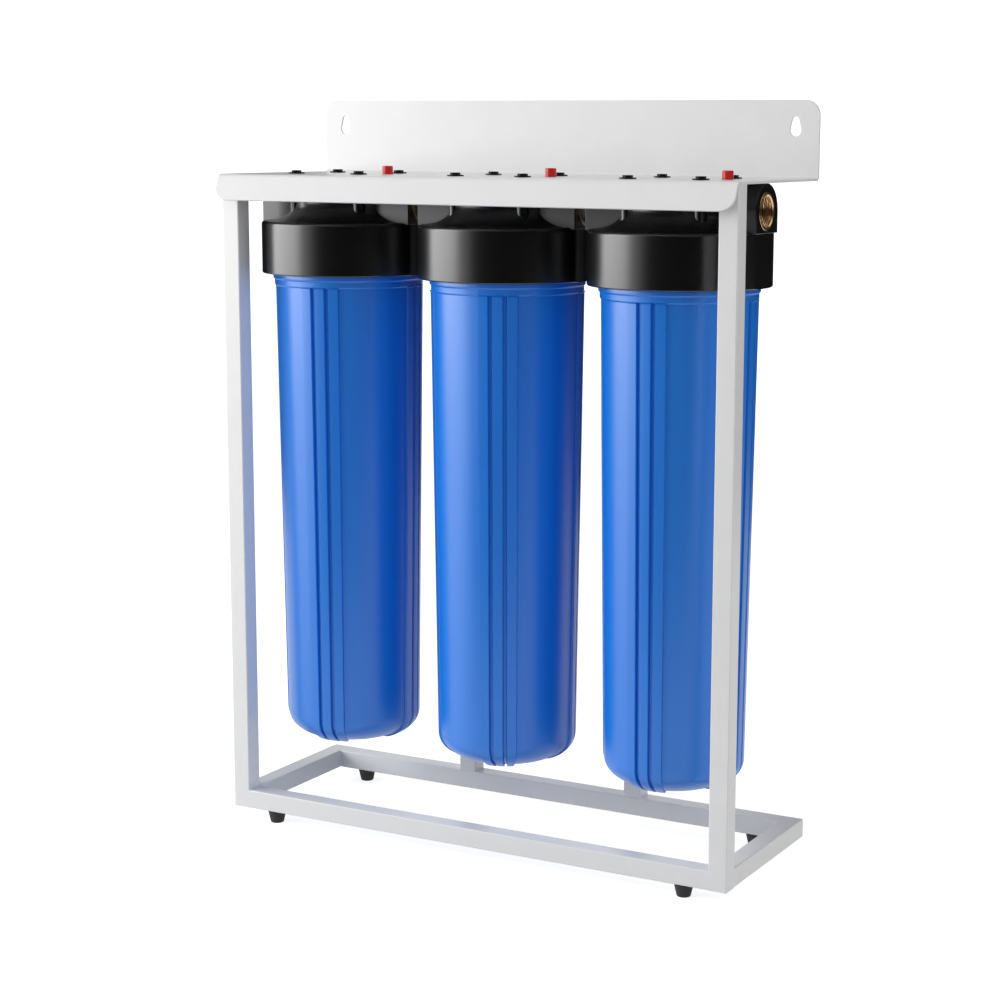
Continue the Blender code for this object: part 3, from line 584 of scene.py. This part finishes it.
def pale_ground(name, lift, albedo):
    """Diffuse ground that is lifted to white where the camera or a reflection sees it."""
    material = bpy.data.materials.new(name)
    material.use_nodes = True
    tree = material.node_tree
    tree.nodes.clear()
    level = add_node(tree, "ShaderNodeMath", {"operation": "MULTIPLY"}, {0: seen_rays(tree), 1: lift})
    ground = add_node(tree, "ShaderNodeBsdfDiffuse", {}, {"Color": (albedo, albedo, albedo, 1)})
    glow = add_node(tree, "ShaderNodeEmission", {}, {"Color": colour("#FFFFFF"), "Strength": level.outputs[0]})
    both = add_node(tree, "ShaderNodeAddShader", {}, {0: ground.outputs[0], 1: glow.outputs[0]})
    add_node(tree, "ShaderNodeOutputMaterial", {}, {"Surface": both.outputs[0]})
    return material


room, wall_back = 9.0, 3.4
bpy.ops.object.select_all(action="DESELECT")
bpy.ops.mesh.primitive_plane_add(size=room)
floor = fresh("floor")
floor.data.materials.append(pale_ground("white_floor", 0.78, 0.60))
bpy.ops.object.select_all(action="DESELECT")
bpy.ops.mesh.primitive_plane_add(size=room, location=(0, wall_back, room / 2), rotation=(math.pi / 2, 0, 0))
wall = fresh("wall")
wall.data.materials.append(pale_ground("white_wall", 0.90, 0.60))


def add_flag(name, low, high):
    """A black panel that only reflections see, between two corners."""
    flag = add_box(name, low, high)
    black = bpy.data.materials.new(name + "_felt")
    black.use_nodes = True
    felt = black.node_tree.nodes["Principled BSDF"].inputs
    felt["Base Color"].default_value = colour("#0A0A0A")
    felt["Roughness"].default_value = 1.0
    flag.data.materials.append(black)
    flag.visible_camera = flag.visible_diffuse = flag.visible_shadow = False
    return flag


right_flag = add_flag("right_flag", (2.6, -3.2, 0.0), (2.62, 2.2, 2.2))
front_flag = add_flag("front_flag", (-1.1, -3.22, 0.0), (2.6, -3.2, 3.0))
left_flag = add_flag("left_flag", (-1.92, 0.0, 0.0), (-1.9, 2.5, 3.0))
back_flag = add_flag("back_flag", (-0.5, 1.9, 0.0), (2.4, 1.92, 3.0))
cloth = add_flag("cloth", (-1.0, -3.2, 0.002), (2.6, -0.9, 0.004))
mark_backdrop(floor, wall, right_flag, front_flag, left_flag, back_flag, cloth)

# %% Lamps and world
room_light, white_level = 0.54, 1.0
world = bpy.data.worlds.new("studio")
bpy.context.scene.world = world
world.use_nodes = True
tree = world.node_tree
tree.nodes.clear()
studio = add_node(tree, "ShaderNodeBackground", {}, {"Color": colour("#FFFFFF"), "Strength": room_light})
white = add_node(tree, "ShaderNodeBackground", {}, {"Color": colour("#FFFFFF"), "Strength": white_level})
choice = add_node(tree, "ShaderNodeMixShader", {}, {0: seen_rays(tree), 1: studio.outputs[0], 2: white.outputs[0]})
add_node(tree, "ShaderNodeOutputWorld", {}, {"Surface": choice.outputs[0]})


def add_soft_box(name, place, aim, width, height, power, glossy=True):
    """A rectangular lamp that looks at a point."""
    lamp = bpy.data.lights.new(name, "AREA")
    lamp.shape, lamp.size, lamp.size_y, lamp.energy = "RECTANGLE", width, height, power
    holder = bpy.data.objects.new(name, lamp)
    holder.location = place
    holder.rotation_euler = (Vector(aim) - Vector(place)).to_track_quat("-Z", "Y").to_euler()
    holder.visible_camera = False
    holder.visible_glossy = glossy
    bpy.context.scene.collection.objects.link(holder)


add_soft_box("key", (-2.25, -1.25, 1.05), (0, 0, 0.42), 2.4, 1.6, 61)
add_soft_box("fill", (2.4, -0.5, 0.9), (0, 0, 0.42), 1.2, 1.2, 10, glossy=False)
bpy.context.scene.view_settings.view_transform = "Standard"
print("lamps: 2")

# %% [markdown]
# ## Caps
#
# A cap is one moulding. A turned blank carries the crown, the hollow shoulder and the skirt, and an arched
# bar with the two ports is joined to it. Then the chamber, the water ways, the pockets of the brass
# inserts and the well of the relief valve are cut, in the order in which the mould's cores lie.
# Booleans suit this, because every one of these forms is a plain rod, bar or turned shape.

# %% Sizes of a cap
cap_low, cap_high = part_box("middle_cap")
cap_top = cap_high.z
housing_y = (cap_low.y + cap_high.y) / 2
housings = {stage: Vector((sum(v.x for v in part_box(f"{stage}_cap")) / 2, housing_y, cap_top)) for stage in stages}
cap_radius, crown_radius, crown_bore, crown_wall = 92 * mm, 57 * mm, 50 * mm, 7 * mm
skirt_bore, chamber, cap_edge, skirt_lip = 85.5 * mm, 68 * mm, 3.5 * mm, 1.5 * mm
crown_height, crown_top_wall, soft_edge = 26.5 * mm, 12 * mm, 0.8 * mm
port_z, ceiling_z, land_z, shoulder_z = -27 * mm, -51 * mm, -56 * mm, -46.5 * mm
skirt_z, spigot_z, cut_room = -101.5 * mm, -72.45 * mm, 5 * mm
boss_radius, port_floor, passage, passage_wall = 27 * mm, 69.7 * mm, 12.5 * mm, 4 * mm
pocket_radius, spigot_radius, flat_step = 19.1 * mm, 18 * mm, 2 * mm
elbow_z = port_z + passage / 2
tower_radius, well_radius, well_floor = 11.5 * mm, 7.5 * mm, -9 * mm
seat_radius, seat_ceiling, stem_hole_radius = 5.6 * mm, -13.5 * mm, 2.6 * mm
screw_boss_radius, pilot_radius, pilot_floor = 7 * mm, 3.4 * mm, -24 * mm
screw_reach = (crown_radius - 1.8 * mm) * math.sqrt(0.5)
screw_spots = [(dx, dy) for dx in (-screw_reach, screw_reach) for dy in (-screw_reach, screw_reach)]
print("cap top", round(cap_top, 4), "axis of the ports", round(cap_top + port_z, 4))

# %% Cap blank, bar and bosses
shoulder_end = cap_radius - cap_edge
blank_outline = [(0, 0)] + arc((crown_radius - soft_edge, -soft_edge), (soft_edge, soft_edge), 90, 0, 3)
blank_outline += arc((shoulder_end, -crown_height), (shoulder_end - crown_radius, -crown_height - shoulder_z),
                     180, 270, 14)
blank_outline += arc((shoulder_end, shoulder_z - cap_edge), (cap_edge, cap_edge), 90, 0, 6)[1:]
blank_outline += arc((cap_radius - skirt_lip, skirt_z + skirt_lip), (skirt_lip, skirt_lip), 0, -90, 4)
blank_outline += [(0, skirt_z)]
cap = add_turned("cap", blank_outline, [(96, 360)])

bar_foot = shoulder_z - cap_edge / 2
bar_outline = arc((0, port_z), (boss_radius, boss_radius), 0, 180, 25)
bar_outline += [(-boss_radius, bar_foot), (boss_radius, bar_foot)]
bar = draw("port_bar", bar_outline, closed=True)
bpy.ops.mesh.edge_face_add()
bpy.ops.transform.translate(value=(0, -cap_radius, 0))
bpy.ops.mesh.extrude_region_move(TRANSFORM_OT_translate={"value": (0, 2 * cap_radius, 0)})
bpy.ops.mesh.select_all(action="SELECT")
bpy.ops.mesh.normals_make_consistent(inside=False)
bpy.ops.mesh.select_mode(type="EDGE")
pick(bar, "edges", lambda e: e.verts[0].co.y * e.verts[1].co.y > 0)
bpy.ops.mesh.bevel(offset=soft_edge, segments=3, affect="EDGES")
done()
bar.data.transform(Matrix.Rotation(math.pi / 2, 4, "Z"))
bosses = [add_rod("boss", screw_boss_radius, shoulder_z, -joint_gap, spot, sides=32, edge=0.4 * mm)
          for spot in screw_spots]
carve(cap, "UNION", bar, joined(bosses, "bosses"))
print("cap blank faces:", len(cap.data.polygons))

# %% Cores of a cap
hollow = add_turned("hollow", [(0, skirt_z - cut_room), (skirt_bore, skirt_z - cut_room), (skirt_bore, land_z),
                               (chamber, land_z), (chamber, ceiling_z), (crown_bore, ceiling_z),
                               (crown_bore, -crown_top_wall), (0, -crown_top_wall)], [(96, 360)])
carve(cap, "DIFFERENCE", hollow)
port_middle = (0, port_z)
carve(cap, "UNION",
      add_rod("tower", tower_radius, elbow_z, -joint_gap, (crown_bore, 0)),
      add_rod("water_way", passage + passage_wall, passage_wall - spigot_radius, crown_bore + crown_wall / 2,
              port_middle, "X"),
      add_rod("spigot", spigot_radius, spigot_z, elbow_z, sides=64, edge=soft_edge))
flats = []
for sign in (-1, 1):
    inner = cap_radius - flat_step
    flats.append(add_box("flat", (min(sign * inner, sign * 2 * cap_radius), -cap_radius, skirt_z - cut_room),
                         (max(sign * inner, sign * 2 * cap_radius), cap_radius, bar_foot - joint_gap)))
carve(cap, "DIFFERENCE", *flats,
      add_rod("pocket", pocket_radius, -cap_radius - cut_room, -port_floor, port_middle, "X", 64),
      add_rod("pocket", pocket_radius, port_floor, cap_radius + cut_room, port_middle, "X", 64),
      add_rod("inlet", passage, -port_floor - cut_room, cut_room - crown_bore, port_middle, "X"),
      add_rod("outlet", passage, -passage / 2, port_floor + cut_room, port_middle, "X"),
      add_rod("drop", passage, spigot_z - cut_room, elbow_z),
      add_rod("well", well_radius, well_floor, cut_room, (crown_bore, 0)),
      add_rod("seat", seat_radius, elbow_z, seat_ceiling, (crown_bore, 0)),
      add_rod("stem_hole", stem_hole_radius, seat_ceiling - joint_gap, well_floor + joint_gap, (crown_bore, 0),
              sides=24),
      joined([add_rod("pilot", pilot_radius, pilot_floor, cut_room, spot, sides=24) for spot in screw_spots],
             "pilots"))
smooth(cap, 32)
for stage, spot in housings.items():
    dress(copied(cap, f"{stage}_cap_moulding", Matrix.Translation(spot)), "stand", f"{stage}_cap")
bpy.data.objects.remove(cap)

# %% [markdown]
# ## Port fittings
#
# Each port holds a turned brass insert with a parallel pipe thread, 2.309 mm a turn. The thread is made by
# turning the bore in fine rings and pushing each vertex out by how far it is round the screw line.
# Plated nipples with a twelve-sided collar join the caps.

# %% Threads
def cut_thread(piece, low, high, root, crest, pitch, run_out):
    """Push the rings of a plain bore or neck between two heights out to a screw line."""
    for vertex in piece.data.vertices:
        x, y, z = vertex.co
        radius = math.hypot(x, y)
        if abs(radius - root) < weld_distance and low < z < high:
            turn = (z / pitch - math.atan2(y, x) / (2 * math.pi)) % 1.0
            flank = min(1.0, max(0.0, 1.5 - 4 * abs(turn - 0.5)))
            fade = min(1.0, (z - low) / run_out, (high - z) / run_out)
            reach = 1 + (crest - root) * flank * fade / radius
            vertex.co.x, vertex.co.y = x * reach, y * reach


# %% Inserts and nipples
insert_radius, insert_bore, insert_length = 18.8 * mm, 15.1 * mm, 22 * mm
pipe_pitch, pipe_depth, chamfer = 2.309 * mm, 0.9 * mm, 0.5 * mm
start, end, mouth_chamfer = cap_radius - insert_length, cap_radius, 1.2 * mm
ring_count = 64
bore = [(insert_bore, start + chamfer + (end - mouth_chamfer - start - chamfer) * i / ring_count)
        for i in range(ring_count + 1)]
insert_outline = [(insert_bore + mouth_chamfer, end), (insert_radius - chamfer, end), (insert_radius, end - chamfer),
                  (insert_radius, start + chamfer), (insert_radius - chamfer, start), (insert_bore + chamfer, start)]
insert = add_turned("insert", insert_outline + bore, [(64, 360)])
cut_thread(insert, start + chamfer, end - mouth_chamfer, insert_bore, insert_bore + pipe_depth, pipe_pitch, mm)
smooth(insert, 30)
to_right = Matrix.Rotation(math.pi / 2, 4, "Y")
to_left = Matrix.Rotation(math.pi, 4, "Z") @ to_right
for stage, spot in housings.items():
    port = Matrix.Translation(spot + Vector((0, 0, port_z)))
    dress(copied(insert, f"{stage}_inlet_brass", port @ to_left), "stand", f"{stage}_inlet_insert")
    dress(copied(insert, f"{stage}_outlet_brass", port @ to_right), "stand", f"{stage}_outlet_insert")
bpy.data.objects.remove(insert)

nipple_half, collar_half, collar_radius, nipple_bore = 23.5 * mm, 5.2 * mm, 16.4 * mm, 11.5 * mm
nipple_radius = insert_bore - joint_gap
collar = add_rod("collar", collar_radius, -collar_half, collar_half, sides=12, edge=0.8 * mm)
carve(collar, "UNION", add_rod("tube", nipple_radius, -nipple_half, nipple_half, sides=64, edge=0.6 * mm))
carve(collar, "DIFFERENCE", add_rod("bore", nipple_bore, -2 * nipple_half, 2 * nipple_half, sides=48))
smooth(collar, 20)
for node, first, second in (("left_nipple", "left", "middle"), ("right_nipple", "middle", "right")):
    spot = (housings[first] + housings[second]) / 2 + Vector((0, 0, port_z))
    dress(copied(collar, node + "_plated", Matrix.Translation(spot) @ to_right), "stand", node)
bpy.data.objects.remove(collar)
print("inserts: 6, nipples: 2")

# %% [markdown]
# ## Screws and relief buttons
#
# Blackened hexagon screws with a washer hold the caps under the shelf. The red button is the head of the
# relief valve's stem: it has a soft rim and a shallow dish for the finger.

# %% Cap screws
screw_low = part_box("left_cap_screw_front_left")[0]
washer_radius, washer_thickness, head_radius, thread_radius = 8.5 * mm, 1.2 * mm, 5.2 * mm, 3.0 * mm
head_rise, head_chamfer, chamfer_drop = 2.2 * mm, 0.5 * mm, 0.2 * mm
washer_low = shelf_height + joint_gap
washer_top = washer_low + washer_thickness
washer = add_rod("washer", washer_radius, washer_low, washer_top, sides=48, edge=0.3 * mm)
head_top = washer_top + head_rise
head = add_rod("head", head_radius, washer_top, head_top, sides=6)
carve(head, "INTERSECT", add_turned("head_cone", [(0, washer_top - mm), (2 * head_radius, washer_top - mm),
                                                 (head_radius - head_chamfer, head_top + chamfer_drop),
                                                 (0, head_top + chamfer_drop)], [(48, 360)]))
shank = add_rod("shank", thread_radius, screw_low.z, washer_low + 0.1 * mm, sides=24, edge=0.5 * mm)
screw = smooth(joined([washer, head, shank], "screw"), 30)
for stage in stages:
    for corner in corners:
        node = f"{stage}_cap_screw_{corner}"
        x, y = middle_of(node)
        dress(copied(screw, node + "_black", Matrix.Translation((x, y, 0))), "stand", node)
bpy.data.objects.remove(screw)
print("cap screws: 12")

# %% Relief buttons
button_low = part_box("left_relief_button")[0]
button_radius, button_rim, dish, button_rise = 5.6 * mm, 1.0 * mm, 0.35 * mm, 11.6 * mm
button_skirt, skirt_chamfer = -3 * mm, 0.4 * mm
stem, stem_head, head_height = 2.2 * mm, 4.6 * mm, 1.4 * mm
top = button_rise
bottom = button_low.z - cap_top
button_outline = [(0, top - dish), (2.5 * mm, top - dish), (4.2 * mm, top)]
button_outline += arc((button_radius - button_rim, top - button_rim), (button_rim, button_rim), 90, 0, 5)
button_outline += [(button_radius, button_skirt + skirt_chamfer), (button_radius - skirt_chamfer, button_skirt),
                   (stem, button_skirt), (stem, bottom + head_height), (stem_head, bottom + head_height),
                   (stem_head, bottom), (0, bottom)]
button = smooth(add_turned("button", button_outline, [(48, 360)]), 40)
for stage, spot in housings.items():
    place = Matrix.Translation(spot + Vector((crown_bore, 0, 0)))
    dress(copied(button, f"{stage}_relief_cap", place), f"{stage}_relief", f"{stage}_relief_button")
bpy.data.objects.remove(button)
print("relief buttons: 3")

# %% [markdown]
# Under each button sits a spring of round wire: a small circle, wound up by the Screw modifier. The button
# presses it together. Each spring gets a mesh of its own.

# %% Relief springs
coil_low, coil_high, coil_radius, coil_turns = well_floor + joint_gap, button_skirt - joint_gap, 4.2 * mm, 3
wire_radius, press = 0.35 * mm, 3 * mm
coil_height = coil_high - coil_low
coil = draw("coil", arc((coil_radius, coil_low + wire_radius), (wire_radius, wire_radius), 0, 330, 11), closed=True)
done()
apply_modifier(coil, "SCREW", screw_offset=(coil_height - 2 * wire_radius) / coil_turns, iterations=coil_turns,
               steps=36, render_steps=36)
edit(coil, "EDGE")
bpy.ops.mesh.select_all(action="SELECT")
bpy.ops.mesh.fill_holes(sides=0)
bpy.ops.mesh.normals_make_consistent(inside=False)
done()
smooth(coil, 50)
for stage, spot in housings.items():
    place = spot + Vector((crown_bore, 0, 0))
    wound = dress(copied(coil, f"{stage}_relief_coil", Matrix.Translation(place)), "stand", f"{stage}_relief_spring")
    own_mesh(wound)
bpy.data.objects.remove(coil)
print("relief springs: 3")

# %% [markdown]
# ## Sumps
#
# A sump is a tapered polypropylene body with a domed foot, a threaded neck and ribs in four groups of three.
# Its outline has both walls, and it is spun in spans: wide steps over the plain wall, and narrow ones at the
# flanks of each rib. Then the rings of the outside are pushed out where a rib stands, so that the ribs have
# soft moulded flanks and sink into the dome.

# %% Sizes of a sump
body_bottom, body_top, body_wall = 71.1 * mm, 77.2 * mm, 6.0 * mm
rib_height, rib_pitch, rib_groups, rib_foot, rib_flank = 2.2 * mm, 15.0 * mm, 4, 6.0 * mm, 1.1 * mm
neck_top, neck_low, collar_low, band_low = -58.2 * mm, -100.7 * mm, -107.7 * mm, -112.7 * mm
band_radius, collar_radius, neck_rim = body_top + 1.8 * mm, body_top + 3.3 * mm, 84.5 * mm
mouth, neck_root, neck_crest, neck_pitch = 71.2 * mm, 82.9 * mm, 84.7 * mm, 6.0 * mm
groove_inner, groove_outer, groove_depth = 74.6 * mm, 81.1 * mm, 3.7 * mm
sump_low, dome_top, dome_flat, dome_square = -610 * mm, -579.5 * mm, 14 * mm, 2.3
inner_floor, inner_top = -597 * mm, -568 * mm
seat_inner, seat_outer, seat_top = 14.2 * mm, 17.2 * mm, -581.05 * mm
gate_radius, gate_depth = 4.5 * mm, 0.8 * mm
collar_round, shut_line, rim_drop, rim_end = 2.2 * mm, 0.3 * mm, 1.6 * mm, 2.0 * mm
print("sump", round(cap_top + sump_low, 4), "to", round(cap_top + neck_top, 4))

# %% Outline and spin
dome_width, dome_height = body_bottom - dome_flat, dome_top - sump_low
dome = [(dome_flat + dome_width * abs(x) ** (2 / dome_square), dome_top - dome_height * abs(z) ** (2 / dome_square))
        for x, z in arc((0, 0), (1, 1), -90, 0, 20)]
wall_rings = [(body_bottom + (body_top - body_bottom) * i / 4,
               dome_top + (band_low - rib_height - dome_top) * i / 4) for i in range(1, 5)]
outside = [(0, sump_low + gate_depth), (gate_radius, sump_low + gate_depth), (gate_radius + 0.6 * mm, sump_low)]
outside += dome + wall_rings
outside += arc((band_radius - rib_height, band_low), (rib_height, rib_height), -90, 0, 4)[1:]
outside += [(band_radius, collar_low - shut_line)]
collar_radii = (collar_radius - band_radius, collar_round)
outside += arc((band_radius, collar_low + collar_round), collar_radii, -80, 0, 5)
outside += arc((band_radius, neck_low - collar_round), collar_radii, 0, 80, 5)
outside += [(neck_rim - shut_line, neck_low), (neck_rim, neck_low + shut_line), (neck_rim, neck_low + rim_drop),
            (neck_root, neck_low + rim_end)]
thread_low, thread_high, thread_rings = neck_low + 2.6 * mm, neck_top - 1.6 * mm, 52
outside += [(neck_root, thread_low + (thread_high - thread_low) * i / thread_rings) for i in range(thread_rings + 1)]
outside += [(neck_root - 0.8 * mm, neck_top)]
inside = [(groove_outer, neck_top), (groove_outer, neck_top - groove_depth), (groove_inner, neck_top - groove_depth),
          (groove_inner, neck_top), (mouth + 0.6 * mm, neck_top), (mouth, neck_top - 0.6 * mm), (mouth, neck_low)]
inner_flat = seat_outer + 3 * mm
inside += arc((inner_flat, inner_top), (body_bottom - body_wall - inner_flat, inner_top - inner_floor), 0, -90, 12)
inside += [(seat_outer, inner_floor), (seat_outer, seat_top), (seat_inner, seat_top), (seat_inner, inner_floor),
           (0, inner_floor)]

quarter = 360 / rib_groups
degrees_per_mm = math.degrees(mm / body_top)
rib_spans = [(4, rib_flank / mm * degrees_per_mm), (3, 2 * (rib_foot - rib_flank) / mm * degrees_per_mm),
             (4, rib_flank / mm * degrees_per_mm)]
gap_span = (2, (rib_pitch - 2 * rib_foot) / mm * degrees_per_mm)
group = rib_spans + [gap_span] + rib_spans + [gap_span] + rib_spans
group_width = sum(degrees for steps, degrees in group)
sump = add_turned("sump", outside + inside, (group + [(14, quarter - group_width)]) * rib_groups)
sump.data.transform(Matrix.Rotation(math.radians(group_width / 2), 4, "Z"))
print("sump faces:", len(sump.data.polygons))

# %% Ribs and neck thread
ring_radius, ring_height = np.array(outside).T
rib_end, groove_cut = 0.40, 1.2 * mm
for vertex in sump.data.vertices:
    x, y, z = vertex.co
    radius = math.hypot(x, y)
    if z > band_low - rib_height / 2 or z < sump_low + mm:
        continue
    if np.min(np.hypot(ring_radius - radius, ring_height - z)) > 0.05 * mm:
        continue
    turn = (math.degrees(math.atan2(y, x)) + quarter / 2) % quarter - quarter / 2
    offset = min(abs(turn - centre * rib_pitch / mm * degrees_per_mm) for centre in (-1, 0, 1)) / degrees_per_mm * mm
    share = min(1.0, max(0.0, (rib_foot - offset) / rib_flank))
    share = share * share * (3 - 2 * share)
    lean_z = max(0.0, (dome_top - z) / dome_height)
    lean_r = max(0.0, 1 - lean_z ** dome_square) ** (1 / dome_square)
    sink = min(1.0, max(0.0, (lean_r - rib_end) / 0.15))
    out = Vector((lean_r ** (dome_square - 1) / dome_width, lean_z ** (dome_square - 1) / dome_height)).normalized()
    between = abs(turn) < rib_pitch / mm * degrees_per_mm and offset > rib_foot - weld_distance
    rise = (-groove_cut if between else rib_height * share) * sink
    reach = (radius + rise * out[0]) / radius
    vertex.co = (x * reach, y * reach, z - rise * out[1])
cut_thread(sump, thread_low, thread_high, neck_root, neck_crest, neck_pitch, 3 * mm)
smooth(sump, 40)
sump_turns = {"left": 10.0, "middle": 21.9, "right": 0.8}
for stage, spot in housings.items():
    place = Matrix.Translation(spot) @ Matrix.Rotation(math.radians(sump_turns[stage]), 4, "Z")
    dress(copied(sump, f"{stage}_sump_moulding", place), f"{stage}_sump", f"{stage}_sump")
bpy.data.objects.remove(sump)
print("sumps: 3")

# %% [markdown]
# ## Size
#
# The box round the dressed model is measured. The dressed model may not grow out of the CAD model's box.

# %% Size
low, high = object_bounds()
